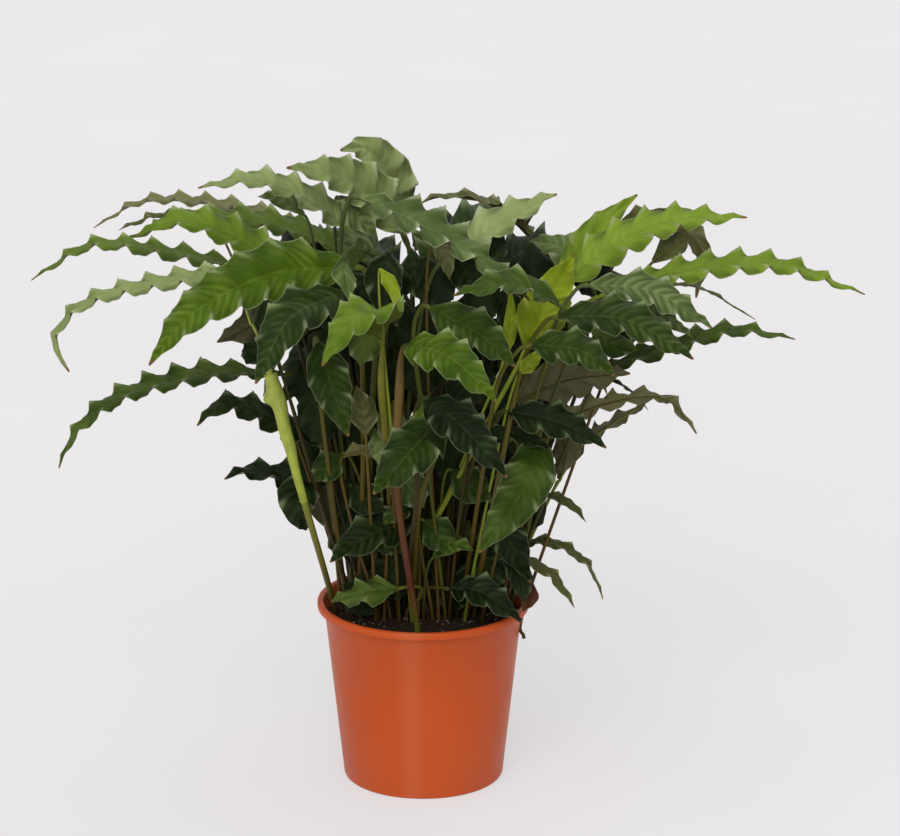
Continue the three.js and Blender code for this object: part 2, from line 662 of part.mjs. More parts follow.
// The soil fills the pot, with a plain hole for the foot of each stalk, and a pocket for what joins two.
function soil(shoots) {
  const foot = BASE_THICKNESS + GAP;
  const inside = (z) => wallRadius(z) - WALL - 2 * GAP;
  const plug = solidOf(
    turned(
      [
        [0, foot],
        [inside(foot), foot],
        [inside(SOIL_TOP), SOIL_TOP],
        [inside(SOIL_TOP) - SOIL_CROWN, SOIL_TOP + SOIL_CROWN],
        [0, SOIL_TOP + SOIL_CROWN],
      ],
      SOIL_SIDES,
    ),
  );
  const holes = shoots.flat().map(stalkHole);
  const pockets = shoots.filter((shoot) => shoot.length > 1).map(linkPocket);
  return geometryOf([...holes, ...pockets].reduce((made, cut) => made.subtract(cut), plug));
}

function stalkHole({ rings: [bottom, top] }) {
  const widen = (ring, rise) => {
    const wider = { ...ring, radius: ring.radius + 2 * GAP, centre: ring.centre.clone() };
    wider.centre.z += rise;
    return cornersOf(wider, 0);
  };
  return solidOf(skin([widen(bottom, -GAP), widen(top, GAP)]));
}

function linkPocket([first, second]) {
  const [a, b] = [first.rings[0], second.rings[0]];
  const room = 2 * (Math.max(a.radius, b.radius) + GAP) + GAP;
  const depth = LINK_DROP + room;
  const pocket = new THREE.BoxGeometry(a.centre.distanceTo(b.centre) + room, room, depth);
  pocket.rotateZ(Math.atan2(b.centre.y - a.centre.y, b.centre.x - a.centre.x));
  const middle = a.centre.clone().lerp(b.centre, 0.5);
  pocket.translate(middle.x, middle.y, middle.z - depth / 2 + room / 4);
  return solidOf(pocket);
}

const roots = placeRoots(LEAVES);
const leaves = LEAVES.map((row, i) => layLeaf(row, roots[i]));
leaves.forEach(sizeRings);
bendClear(leaves);
leaves.forEach(turnRings);
const shoots = Map.groupBy(leaves, ({ row }) => row.name);

const plant = new THREE.Group();
plant.add(meshOf("pot", pot(), 0xb04c25, 0.42));
plant.add(meshOf("soil", soil([...shoots.values()]), 0x241811, 0.95));
for (const [name, shoot] of shoots) {
  plant.add(meshOf(name, shootSkin(shoot), COLOURS[shoot[0].row.tone], 0.45));
}

export default plant;
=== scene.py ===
"""A potted blue grass calathea: waved leaves on slender stalks, in a terracotta-coloured nursery pot."""

import json
import math
import random
from functools import partial
from types import SimpleNamespace

import bmesh
import bpy
from mathutils import Euler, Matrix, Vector, noise


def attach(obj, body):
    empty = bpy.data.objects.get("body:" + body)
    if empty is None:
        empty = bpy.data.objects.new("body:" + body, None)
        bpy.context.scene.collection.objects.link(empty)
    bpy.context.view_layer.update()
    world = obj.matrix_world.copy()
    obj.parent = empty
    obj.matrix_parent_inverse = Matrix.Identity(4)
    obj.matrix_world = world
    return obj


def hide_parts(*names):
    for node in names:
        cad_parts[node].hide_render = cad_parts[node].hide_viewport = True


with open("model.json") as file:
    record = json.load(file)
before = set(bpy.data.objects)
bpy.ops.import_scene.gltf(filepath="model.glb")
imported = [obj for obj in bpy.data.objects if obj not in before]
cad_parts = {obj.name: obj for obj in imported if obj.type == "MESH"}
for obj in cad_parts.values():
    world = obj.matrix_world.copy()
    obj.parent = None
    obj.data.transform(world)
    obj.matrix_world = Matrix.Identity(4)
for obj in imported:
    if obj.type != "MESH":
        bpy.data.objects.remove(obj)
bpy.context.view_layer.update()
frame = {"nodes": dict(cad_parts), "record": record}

MM = 0.001
SLOT_OF = {part["node"]: part["material_slot"] for part in frame["record"]["subparts"]}
LEAF_NODES = sorted(name for name in frame["nodes"] if name.startswith("leaf_"))


# Camera, floor and light


SENSOR_WIDTH = 36
LENS = 187.9
CAMERA_PLACE = (0.0265, -4.4, 1.725)
CAMERA_DIP = 17.116
# Each light's direction, strength, spread in degrees and colour.
LIGHTS = {
    "front_light": ((0.2, 1.0, -0.65), 1.5, 45, (1, 0.99, 0.97)),
    "top_light": ((0.05, 0.4, -1), 0.95, 70, (1, 1, 1)),
    "back_light": ((-0.3, -1, -0.8), 0.6, 60, (1, 1, 1)),
}
ROOM_LIGHT = 0.42


def stand_camera():
    """A long lens a little above the plant, 4.4 m in front of it."""
    data = bpy.data.cameras.new("camera")
    data.sensor_width = SENSOR_WIDTH
    data.lens = LENS
    camera = bpy.data.objects.new("camera", data)
    camera.location = CAMERA_PLACE
    camera.rotation_euler = (math.radians(90 - CAMERA_DIP), 0, 0)
    bpy.context.scene.collection.objects.link(camera)
    bpy.context.scene.camera = camera


def far_light(name, towards, strength, spread, colour):
    """A broad light so far off that it falls on the floor evenly. towards is where it shines, and spread,
    in degrees, how much of the sky it takes up."""
    data = bpy.data.lights.new(name, "SUN")
    data.energy = strength
    data.angle = math.radians(spread)
    data.color = colour
    lamp = bpy.data.objects.new(name, data)
    lamp.rotation_euler = Vector(towards).to_track_quat("-Z", "Y").to_euler()
    bpy.context.scene.collection.objects.link(lamp)


def light_studio():
    """The lights, in a white room, with colours shown as they are."""
    for name, values in LIGHTS.items():
        far_light(name, *values)
    world = bpy.data.worlds.new("white_room")
    world.use_nodes = True
    background = world.node_tree.nodes["Background"]
    background.inputs["Color"].default_value = (1, 1, 1, 1)
    background.inputs["Strength"].default_value = ROOM_LIGHT
    bpy.context.scene.world = world
    bpy.context.scene.view_settings.view_transform = "Standard"


# Materials


def linear(code):
    """An sRGB hex colour as linear RGBA."""
    shares = [((code >> shift) & 255) / 255 for shift in (16, 8, 0)]
    return (*[s / 12.92 if s <= 0.04045 else ((s + 0.055) / 1.055) ** 2.4 for s in shares], 1)


def new_material(name):
    """An empty material, and the function that adds its nodes."""
    material = bpy.data.materials.new(name)
    material.use_nodes = True
    material.node_tree.nodes.clear()
    return material, partial(add_node, material.node_tree)


def add_node(tree, kind, *values, stops=(), **settings):
    """A node of this kind. values fill its inputs in turn, and settings are its own properties or, by
    name, its inputs: a node or an output is linked in, and a hex code is a colour. stops are a ramp's
    places and colours."""
    node = tree.nodes.new("ShaderNode" + kind)
    for name in [name for name in settings if hasattr(node, name)]:
        setattr(node, name, settings.pop(name))
    sockets = [socket for socket in node.inputs if socket.enabled]
    named = [(node.inputs[name.replace("_", " ")], value) for name, value in settings.items()]
    for socket, value in [*zip(sockets, values), *named]:
        if isinstance(value, bpy.types.Node):
            value = next(output for output in value.outputs if output.enabled)
        if isinstance(value, bpy.types.NodeSocket):
            tree.links.new(value, socket)
        elif socket.type == "RGBA":
            socket.default_value = linear(value)
        else:
            socket.default_value = value
    for count, (position, code) in enumerate(stops):
        marks = node.color_ramp.elements
        mark = marks[count] if count < 2 else marks.new(position)
        mark.position = position
        mark.color = linear(code)
    return node


# The living blade: a waxy cuticle over soft green tissue, so it has a broad satin sheen. Its side veins
# sweep from the midrib to the margin like the barbs of a feather, a pleat every 10 mm, with fine ones
# 1.5 mm apart between. Colours are the tissue in painted shade, the tissue, the tissue in painted light,
# its stripes, and a paler colour painted on its crests as sheen, which also colours its thin pale margin.
BLADE_COLOURS = {
    "lime": (0x667808, 0x88991a, 0xa8b838, 0xa2b03c, 0xbcc45c),
    "young": (0x2c4402, 0x4f6c0e, 0x86a034, 0x748c2e, 0xa2ae78),
    "mid": (0x20340a, 0x405810, 0x6e842e, 0x667c38, 0x98a672),
    "mature": (0x162602, 0x2f460a, 0x6c8034, 0x566830, 0x8c9a6e),
    "dark": (0x0a1402, 0x1a2a06, 0x40521e, 0x3c4e26, 0x74845e),
    "grey": (0x34461c, 0x5a6e36, 0xa2b070, 0x8a9a64, 0xb8c09c),
    "olive": (0x3c401a, 0x5a5e2e, 0x7c7e50, 0x7c7e56, 0x9c9c78),
    # The deep tone is near black: painted shade, for leaves inside the crown.
    "deep": (0x0c1403, 0x182606, 0x283812, 0x2a3816, 0x3c4a28),
    "withered": (0x3a2010, 0x5c3418, 0x7d5a34, 0x6d4a28, 0x8c6a40),
}
# The underside is duller and has no wax: olive on a young leaf, and wine-tinged grey on an old one.
# Colours are its tissue and its veins, the second also painted on as its light and as sheen on its crests.
UNDER_COLOURS = {
    "lime": (0x7d8a22, 0x9aa440),
    "young": (0x55641e, 0x6f7a3a),
    "mid": (0x53562c, 0x6e7048),
    "mature": (0x4a4a2e, 0x64643f),
    "dark": (0x5c5a3e, 0x787450),
    "grey": (0x50542f, 0x6a6c4a),
    "olive": (0x6c6c44, 0x8a8860),
    # The deep tone's underside is near black as well: painted shade.
    "deep": (0x1a180e, 0x262416),
    "withered": (0x4c2c16, 0x6a4524),
}
WITHERED = 0x7d5a34
VEIN_SPACING = 10.5 * MM
VEIN_SWEEP = 0.85
THREADS_A_VEIN = 7


def blade_material(name, shaded, tissue, light, stripe, painted_sheen_and_margin, veined, gloss):
    """A blade seen from one side. veined is how strongly the stripes show, and gloss how waxy it is."""
    material, node = new_material(name)
    split = node("SeparateXYZ", node("TexCoord").outputs["UV"])
    across = node("Math", split.outputs["X"], operation="ABSOLUTE")
    place = node("TexCoord").outputs["Object"]
    shade = node("Attribute", attribute_name="shade").outputs["Fac"]
    reach = node("Attribute", attribute_name="reach").outputs["Fac"]
    crest = node("Attribute", attribute_name="crest").outputs["Fac"]
    # Tissue in patches a few centimetres wide, paler on a leaf with a higher shade: partly its age, and
    # partly painted light.
    patches = node("TexNoise", Vector=place, Scale=28.0, Detail=4.0)
    tone_and_painted_light = node("Math", node("Math", patches, shade, operation="ADD"), 0.5, operation="MULTIPLY")
    colour = node("ValToRGB", tone_and_painted_light, stops=[(0.25, shaded), (0.6, tissue), (1.0, light)])
    # A stripe along each side vein, fading out here and there, and fine threads between.
    phase = node("Math", split.outputs["Y"], 2 * math.pi, operation="MULTIPLY")
    veins = node("Math", phase, operation="SINE")
    threads = node("Math", node("Math", phase, THREADS_A_VEIN, operation="MULTIPLY"), operation="SINE")
    band = node("MapRange", veins, -0.8, 1.0, 0.0, veined, interpolation_type="SMOOTHSTEP")
    broken = node("MapRange", patches, 0.38, 0.62)
    band = node("Math", band, broken, operation="MULTIPLY")
    colour = node("Mix", band, colour, stripe, data_type="RGBA")
    thread = node("MapRange", threads, 0.0, 1.0, 0.0, 0.12)
    colour = node("Mix", thread, colour, stripe, data_type="RGBA")
    # Painted sheen on the crests of the waves and painted shade in their troughs, more so towards the
    # margin.
    high = node("MapRange", crest, 0.2, 1.0, 0.0, 1.0, interpolation_type="SMOOTHSTEP")
    outer = node("MapRange", across, 0.35, 0.9, 0.0, 0.75, interpolation_type="SMOOTHSTEP")
    high = node("Math", high, outer, operation="MULTIPLY")
    colour = node("Mix", high, colour, painted_sheen_and_margin, data_type="RGBA")
    low = node("MapRange", crest, 0.0, -0.8, 0.0, 0.7, interpolation_type="SMOOTHSTEP")
    low = node("Math", low, outer, operation="MULTIPLY")
    colour = node("Mix", low, colour, shaded, data_type="RGBA")
    # The midrib, the thin pale margin and the dry tip.
    midrib = node("MapRange", across, 0.06, 0.02, 0.0, 0.3, interpolation_type="SMOOTHSTEP")
    colour = node("Mix", midrib, colour, stripe, data_type="RGBA")
    margin = node("MapRange", across, 0.94, 1.0, 0.0, 0.5, interpolation_type="SMOOTHSTEP")
    colour = node("Mix", margin, colour, painted_sheen_and_margin, data_type="RGBA")
    dry = node("Math", node("Math", patches, 0.04, operation="MULTIPLY"), reach, operation="ADD")
    dry = node("MapRange", dry, 0.985, 1.01, interpolation_type="SMOOTHSTEP")
    colour = node("Mix", dry, colour, WITHERED, data_type="RGBA")
    wax = node("MapRange", node("TexNoise", Vector=place, Scale=90.0), 0.3, 0.7, 0.36, 0.5)
    bump = node("Bump", Height=threads, Distance=0.2 * MM)
    shader = node("BsdfPrincipled", Base_Color=colour, Roughness=wax, Normal=bump, IOR=1.45,
                  Specular_IOR_Level=gloss)
    node("OutputMaterial", shader)
    return material


# Stalks: firm, smooth and faintly ribbed along their length, green above and redder towards the foot.
# Colours are at the soil, a little above it, halfway up and below the blade. The mid, dark and deep tones
# are painted darker, as shade, for the stalks inside the crown.
STALK_COLOURS = {
    "lime": (0x5f6420, 0x6f7a24, 0x8a9634, 0x98a53c),
    "young": (0x3c3614, 0x4a491a, 0x525a22, 0x6c782a),
    "mid": (0x2c2412, 0x383418, 0x3e441c, 0x505c24),
    "mature": (0x3c2c10, 0x50411a, 0x58561e, 0x5a6024),
    "dark": (0x2a1e0e, 0x382c12, 0x3c3a14, 0x424a1c),
    "grey": (0x2e2c18, 0x3a381c, 0x404824, 0x525e32),
    "olive": (0x4a381a, 0x5a431c, 0x5c4e24, 0x605628),
    "deep": (0x1c1609, 0x2a220e, 0x302e10, 0x343816),
    "withered": (0x3a2010, 0x4c2c16, 0x5c3418, 0x6a4524),
}
# The stalks in front, each with the colours of its own age: broad sheathed ones, a red one, and the pale
# ones at the right edge of the pot.
OWN_STALKS = {
    "leaf_left_5": (0x40321a, 0x5c5620, 0x94a03c, 0xa8b452),
    "leaf_front_1": (0x3a2812, 0x5a501e, 0x78782a, 0x6c7028),
    "leaf_front_4": (0x505a1c, 0x4c2014, 0x6e5a2e, 0x4c4e22),
    "leaf_right_8": (0x7a5626, 0x8a6428, 0x8a8a34, 0x7c8434),
    "leaf_right_12": (0x6a5a22, 0x7c7a2c, 0x86903a, 0x7c8434),
    "leaf_low_4": (0x6c4a22, 0x86602a, 0x807038, 0x767848),
    "leaf_front_5": (0x403a18, 0x4c4c1c, 0x525a20, 0x525a20),
}


STALK_RIBS = 7


def stalk_material(name, soil, foot, middle, top):
    """A stalk, its four colours one above another, with streaks of the foot's red all the way up."""
    material, node = new_material(name)
    place = node("TexCoord").outputs["Object"]
    reach = node("Attribute", attribute_name="reach").outputs["Fac"]
    colour = node("ValToRGB", reach, stops=[(0.105, soil), (0.15, foot), (0.32, middle), (0.52, top)])
    streaks = node("MapRange", node("TexNoise", Vector=place, Scale=120.0), 0.45, 0.75, 0.0, 0.3)
    colour = node("Mix", streaks, colour, foot, data_type="RGBA")
    around = node("SeparateXYZ", node("TexCoord").outputs["UV"]).outputs["X"]
    around = node("Math", around, STALK_RIBS * 2 * math.pi, operation="MULTIPLY")
    ribs = node("Math", around, operation="SINE")
    bump = node("Bump", Height=ribs, Distance=0.1 * MM)
    sheen = node("MapRange", ribs, -1.0, 1.0, 0.4, 0.52)
    shader = node("BsdfPrincipled", Base_Color=colour, Roughness=sheen, Normal=bump,
                  Specular_IOR_Level=0.15)
    node("OutputMaterial", shader)
    return material


def leaf_materials():
    """For each tone, the blade from above, the blade from below and the stalk."""
    made = {}
    for tone, colours in BLADE_COLOURS.items():
        under, pale = UNDER_COLOURS[tone]
        made[tone] = (
            blade_material("blade_" + tone, *colours, 0.5, 0.22),
            blade_material("underside_" + tone, under, under, pale, pale, pale, 0.4, 0.1),
            stalk_material("stalk_" + tone, *STALK_COLOURS[tone]),
        )
    return made


# The turn from the front at which a paler band is painted up the pot as a highlight.
PAINTED_HIGHLIGHT_TURN = math.radians(-7)


def pot_material():
    """Injection-moulded polypropylene in terracotta: satin, with a fine grain from the mould, and a paler
    upright band painted on as a highlight."""
    material, node = new_material("moulded_polypropylene")
    place = node("TexCoord").outputs["Object"]
    clouds = node("TexNoise", Vector=place, Scale=9.0)
    colour = node("ValToRGB", clouds, stops=[(0.3, 0xb44a1c), (0.7, 0xbc5022)])
    # A paler upright band, a painted highlight, set by the turn about the pot's axis.
    split = node("SeparateXYZ", place)
    ahead = node("Math", split.outputs["Y"], -1, operation="MULTIPLY")
    turn = node("Math", split.outputs["X"], ahead, operation="ARCTAN2")
    off = node("Math", node("Math", turn, PAINTED_HIGHLIGHT_TURN, operation="SUBTRACT"), operation="ABSOLUTE")
    painted_highlight = node("MapRange", off, 0.2, 0.02, 0.0, 0.14, interpolation_type="SMOOTHSTEP")
    colour = node("Mix", painted_highlight, colour, 0xcc7c5c, data_type="RGBA")
    scuffs = node("MapRange", node("TexNoise", Vector=place, Scale=35.0), 0.3, 0.7, 0.36, 0.46)
    bump = node("Bump", Height=node("TexNoise", Vector=place, Scale=1400.0), Distance=0.03 * MM)
    shader = node("BsdfPrincipled", Base_Color=colour, Roughness=scuffs, Normal=bump, IOR=1.49,
                  Specular_IOR_Level=0.15)
    node("OutputMaterial", shader)
    return material


def soil_material():
    """Damp peat compost: near black and matt, with brown fibres."""
    material, node = new_material("damp_peat")
    place = node("TexCoord").outputs["Object"]
    grains = node("TexNoise", Vector=place, Scale=500.0, Detail=5.0, Roughness=0.7)
    colour = node("ValToRGB", grains, stops=[(0.35, 0x120b07), (0.55, 0x2a1c12), (0.75, 0x5a4028)])
    damp = node("MapRange", grains, 0.3, 0.8, 0.75, 0.98)
    bump = node("Bump", Height=grains, Distance=1.2 * MM)
    shader = node("BsdfPrincipled", Base_Color=colour, Roughness=damp, Normal=bump,
                  Specular_IOR_Level=0.25)
    node("OutputMaterial", shader)
    return material


def grit_material(name, dark, light):
    """Dry grains on the soil: matt, each a little different."""
    material, node = new_material(name)
    grain = node("TexNoise", Vector=node("TexCoord").outputs["Object"], Scale=260.0, Detail=2.0)
    colour = node("ValToRGB", grain, stops=[(0.3, dark), (0.7, light)])
    matt = node("MapRange", grain, 0.3, 0.7, 0.8, 0.95)
    shader = node("BsdfPrincipled", Base_Color=colour, Roughness=matt, Specular_IOR_Level=0.2)
    node("OutputMaterial", shader)
    return material


def floor_material():
    """The opal sheet of a lit table: matt white, and glowing a little, which washes out the shadows."""
    material, node = new_material("opal_sheet")
    place = node("TexCoord").outputs["Object"]
    clouds = node("TexNoise", Vector=place, Scale=3.0)
    colour = node("ValToRGB", clouds, stops=[(0.3, 0x908e8f), (0.7, 0x949293)])
    matt = node("MapRange", node("TexNoise", Vector=place, Scale=8.0), 0.3, 0.7, 0.85, 0.95)
    shader = node("BsdfPrincipled", Base_Color=colour, Roughness=matt, Specular_IOR_Level=0.1,
                  Emission_Color=0xfffdfe, Emission_Strength=0.515)
    node("OutputMaterial", shader)
    return material


# Leaves, read from the rings of six corners that each CAD leaf is lofted through


ROOT_HEIGHT = 144 * MM
ROOT_SLACK = 0.3 * MM
STALK_RINGS = 5
MIDRIB_DEPTH = 0.3


def neighbours(vert):
    """The corners that share an edge with this one."""
    return {edge.other_vert(vert) for edge in vert.link_edges}


def elbow_corners(bm):
    """The corners below all stalks' feet, where an elbow under the soil joins two of them."""
    return {v for v in bm.verts if v.co.z < ROOT_HEIGHT - ROOT_SLACK}


def root_rings(bm):
    """The ring at the foot of each stalk."""
    elbow = elbow_corners(bm)
    if elbow:
        feet = set().union(*map(neighbours, elbow)) - elbow
    else:
        feet = {v for v in bm.verts if v.co.z < ROOT_HEIGHT + ROOT_SLACK}
    rings = []
    while feet:
        ring = {feet.pop()}
        while more := set().union(*map(neighbours, ring)) & feet:
            ring |= more
            feet -= more
        rings.append(ring)
    return sorted(rings, key=lambda ring: min(v.index for v in ring))


def in_order(ring):
    """A foot's corners in turn, with the groove on the upper side of the stalk second."""
    centre = sum((v.co for v in ring), Vector()) / 6
    turn = sorted(ring, key=lambda v: math.atan2(v.co.y - centre.y, v.co.x - centre.x))
    first = turn.index(min(turn, key=lambda v: (v.co - centre).length)) - 1
    return turn[first:] + turn[:first]


def next_ring(ring, seen):
    """The corners that follow a ring's own: the one way to give each corner a neighbour of its own."""
    options = [neighbours(v) - seen for v in ring]
    if not any(options):
        return None
    found = [None] * 6
    while None in found:
        i = next(i for i in range(6) if found[i] is None and len(options[i]) == 1)
        found[i] = options[i].pop()
        for left in options:
            left.discard(found[i])
    return found


def ring_radius(ring):
    """A six-sided ring is one and a half radii from a corner to the line between the two that face it."""
    return (ring[4] - (ring[0] + ring[2]) / 2).length / 1.5


def leaves_of(node):
    """Each leaf of a CAD node: the centres and radii of its stalk, and the margins, midrib and upward
    directions of its blade."""
    bm = bmesh.new()
    bm.from_mesh(frame["nodes"][node].data)
    bmesh.ops.remove_doubles(bm, verts=bm.verts, dist=1e-6)
    bm.verts.index_update()
    feet = root_rings(bm)
    seen = set().union(*feet, elbow_corners(bm))
    leaves = []
    for foot in feet:
        rings = [in_order(foot)]
        while ring := next_ring(rings[-1], seen):
            rings.append(ring)
            seen |= set(ring)
        corners = [[v.co.copy() for v in ring] for ring in rings]
        blade = corners[STALK_RINGS:]
        leaves.append(
            SimpleNamespace(
                stalk=[sum(ring, Vector()) / 6 for ring in corners[:STALK_RINGS]],
                radii=[ring_radius(ring) for ring in corners[:STALK_RINGS]],
                sides=([(c[0] + c[5]) / 2 for c in blade], [(c[2] + c[3]) / 2 for c in blade]),
                middle=[c[1].lerp(c[4], MIDRIB_DEPTH) for c in blade],
                up=[(c[1] - c[4]).normalized() for c in blade],
            )
        )
    bm.free()
    return leaves


# Leaves, added among the stalks and in the crown


# Small leaves among the large ones. Each has its tone, its width, how far its upper face leans from level
# towards the front in degrees, and the base, the middle and the tip of its midrib, in millimetres.
INNER_LEAVES = [
    ("lime", 13, 80, (-39, -92, 546), (-29, -98, 531), (-20, -96, 505)),
    ("dark", 26, 70, (-10, 15, 536), (-8, 5, 514), (2, 0, 487)),
    ("olive", 16, 60, (10, -20, 549), (22, -28, 542), (26, -28, 518)),
    ("dark", 24, 75, (66, 20, 500), (62, 10, 485), (60, 10, 459)),
    ("dark", 24, 75, (81, 35, 494), (83, 25, 478), (78, 22, 451)),
    ("dark", 26, 75, (96, 50, 491), (99, 40, 477), (93, 36, 451)),
    ("mature", 32, 70, (-44, -70, 484), (-54, -84, 472), (-60, -90, 450)),
    ("dark", 42, 70, (-34, 45, 480), (-46, 40, 456), (-52, 35, 429)),
    ("dark", 42, 65, (5, 35, 482), (17, 28, 457), (28, 20, 432)),
    ("dark", 46, 75, (44, 45, 451), (56, 38, 426), (62, 30, 392)),
    ("dark", 46, 75, (-21, 55, 446), (-27, 50, 419), (-23, 45, 383)),
    ("dark", 42, 70, (-70, 35, 482), (-80, 25, 461), (-91, 20, 432)),
    ("dark", 42, 70, (115, 45, 480), (126, 35, 458), (140, 25, 430)),
    ("lime", 14, 70, (93, -66, 435), (104, -72, 448), (115, -72, 461)),
    ("young", 28, 70, (0, -66, 405), (5, -82, 392), (13, -88, 369)),
    ("olive", 28, -70, (-29, -30, 395), (-31, -42, 380), (-38, -44, 356)),
    ("olive", 18, -60, (-77, -24, 339), (-56, -34, 348), (-34, -36, 340)),
    ("mature", 28, 60, (-79, -12, 337), (-93, -24, 328), (-105, -30, 314)),
    ("dark", 32, -75, (-102, 12, 296), (-96, 5, 278), (-87, 0, 248)),
    ("mature", 20, 50, (-12, -22, 285), (-24, -34, 285), (-40, -40, 272)),
    ("olive", 22, -70, (-14, 2, 270), (-27, -6, 267), (-38, -10, 257)),
    ("mature", 28, 60, (-45, -14, 258), (-34, -24, 252), (-20, -30, 240)),
    ("mid", 22, 40, (10, -32, 237), (26, -44, 255), (50, -54, 251)),
    ("olive", 26, -70, (30, 12, 251), (44, 5, 247), (60, 0, 236)),
    ("dark", 32, 70, (53, 10, 228), (64, 0, 217), (77, -12, 193)),
    ("dark", 36, 75, (32, 45, 273), (36, 36, 257), (38, 30, 236)),
    ("dark", 36, 75, (57, 45, 273), (54, 36, 257), (50, 30, 236)),
    ("dark", 30, 60, (27, 22, 329), (38, 14, 322), (55, 8, 308)),
    ("dark", 48, 75, (8, 55, 314), (2, 50, 282), (-3, 45, 248)),
    ("dark", 48, 75, (-22, 65, 331), (-28, 60, 299), (-33, 55, 265)),
    ("dark", 46, 75, (-72, 62, 374), (-78, 58, 340), (-83, 54, 302)),
    ("dark", 46, 75, (75, 62, 288), (81, 55, 257), (76, 50, 220)),
    ("dark", 46, 70, (44, 52, 377), (56, 45, 354), (67, 40, 322)),
    ("dark", 42, 75, (117, 52, 377), (111, 48, 343), (106, 44, 311)),
    ("dark", 42, 75, (-64, 52, 292), (-58, 45, 260), (-63, 40, 223)),
    ("dark", 36, 70, (-110, 50, 346), (-116, 45, 319), (-112, 40, 291)),
    ("dark", 22, 35, (54, -70, 373), (89, -95, 383), (124, -105, 370)),
    ("olive", 14, 20, (95, -30, 237), (126, -45, 224), (149, -50, 190)),
    ("olive", 13, 20, (115, -20, 298), (140, -30, 295), (160, -35, 274)),
    ("withered", 18, 60, (92, -25, 207), (104, -40, 201), (98, -50, 186)),
    ("mature", 26, 50, (163, -60, 477), (184, -66, 465), (207, -70, 460)),
    ("olive", 9, 15, (-209, 60, 556), (-258, 60, 561), (-299, 62, 544)),
    ("dark", 12, -20, (177, -10, 416), (200, -16, 406), (220, -20, 384)),
    ("olive", 24, 80, (-55, -62, 372), (-57, -64, 397), (-64, -66, 423)),
    ("dark", 30, 60, (-155, -40, 501), (-145, -55, 481), (-133, -60, 455)),
    ("dark", 24, -60, (134, -20, 364), (140, -25, 343), (136, -28, 321)),
    ("mature", 26, 50, (132, -80, 468), (151, -90, 464), (170, -96, 452)),
    ("dark", 24, 40, (81, -30, 233), (95, -45, 223), (99, -55, 196)),
    ("dark", 34, 60, (31, 10, 534), (42, 0, 518), (46, -8, 494)),
    ("dark", 30, 65, (-113, -20, 534), (-97, -28, 520), (-78, -34, 508)),
    ("dark", 28, 60, (-71, 0, 518), (-59, -8, 502), (-55, -14, 482)),
    ("grey", 26, 50, (-82, 20, 589), (-65, 10, 574), (-43, 0, 552)),
    ("grey", 18, 40, (-115, 20, 571), (-136, 18, 586), (-160, 16, 590)),
    ("dark", 24, 60, (-156, -10, 455), (-164, -16, 442), (-172, -20, 431)),
    ("dark", 22, 60, (62, 20, 553), (71, 12, 541), (77, 6, 527)),
    ("olive", 22, 50, (222, -20, 534), (244, -24, 553), (258, -26, 561)),
    ("grey", 16, 30, (210, -40, 501), (236, -48, 486), (261, -54, 467)),
    ("dark", 30, 60, (-92, 0, 256), (-78, -12, 248), (-60, -22, 239)),
    ("dark", 34, 70, (-3, 10, 313), (17, 2, 299), (38, -6, 287)),
    ("dark", 36, 70, (-25, 20, 216), (-11, 12, 202), (7, 4, 190)),
    ("mature", 34, 60, (28, -30, 326), (46, -42, 314), (67, -50, 302)),
    ("dark", 34, 70, (95, -10, 320), (81, -20, 300), (70, -28, 282)),
    ("dark", 30, 60, (-70, -10, 303), (-56, -22, 293), (-38, -30, 283)),
    ("dark", 32, 60, (17, 0, 198), (32, -12, 191), (50, -22, 189)),
    ("dark", 30, 60, (76, -10, 247), (88, -20, 238), (103, -30, 231)),
    ("mature", 32, 65, (1, -26, 273), (15, -36, 262), (25, -44, 246)),
    ("grey", 34, 70, (-24, -20, 323), (-13, -30, 308), (1, -38, 290)),
    ("dark", 26, 60, (172, -20, 463), (193, -28, 462), (212, -34, 470)),
    ("dark", 30, 60, (56, -20, 234), (66, -32, 222), (72, -40, 204)),
    ("grey", 24, 60, (-46, -30, 367), (-40, -42, 354), (-42, -50, 337)),
]
# Between them and the stalks behind, leaves too shaded to tell apart hang in rows, one above another, in
# the near-black deep tone, which is painted shade. The rows widen upwards, as the stalks spread.
SHADED_ROWS = range(205, 520, 42)
SHADED_COLUMNS = 7
SHADED_HALF = 55
SHADED_SPREAD = 0.26
SHADED_CENTRE = 6


def shaded_leaves(draw):
    """Rows as in INNER_LEAVES, over the whole inside of the crown."""
    rows = []
    for height in SHADED_ROWS:
        half = SHADED_HALF + (height - 170) * SHADED_SPREAD
        for column in range(SHADED_COLUMNS):
            x = half * (2 * column / (SHADED_COLUMNS - 1) - 1) + draw.uniform(-8, 8) + SHADED_CENTRE
            y = draw.uniform(-22, 52)
            z = height + draw.uniform(-12, 12)
            side = draw.uniform(-16, 16)
            drop = draw.uniform(22, 30)
            rib = (x, y, z + drop), (x + side, y - 8, z), (x + side * 1.4, y - 10, z - drop)
            rows.append(("deep", draw.uniform(34, 46), draw.uniform(50, 85), *rib))
    return rows


INNER_WAVE = 12 * MM
INNER_CREST = 0.16
INNER_TROUGH = -0.12
INNER_NECK = 16 * MM
INNER_RADII = (1.9, 1.9, 1.7, 1.5, 1.4)
INNER_RINGS = (0, 0.34, 0.66, 0.87)
FORWARD = 0.3
ROOT_RISE = 32 * MM


def outline(t):
    """Half the width of a blade, as a share, from its base to its tip: widest a quarter of the way up."""
    return min(1, t / 0.24 + 0.1) ** 0.6 * (1 - max(0, (t - 0.3) / 0.7) ** 2.2)


def bowed(foot, bend, end, t):
    """A point on the curve that leaves foot towards bend and comes to end through it."""
    quarter = foot.lerp(bend, 0.5)
    return foot * (1 - t) ** 3 + quarter * 3 * t * (1 - t) ** 2 + bend * 3 * t * t * (1 - t) + end * t**3


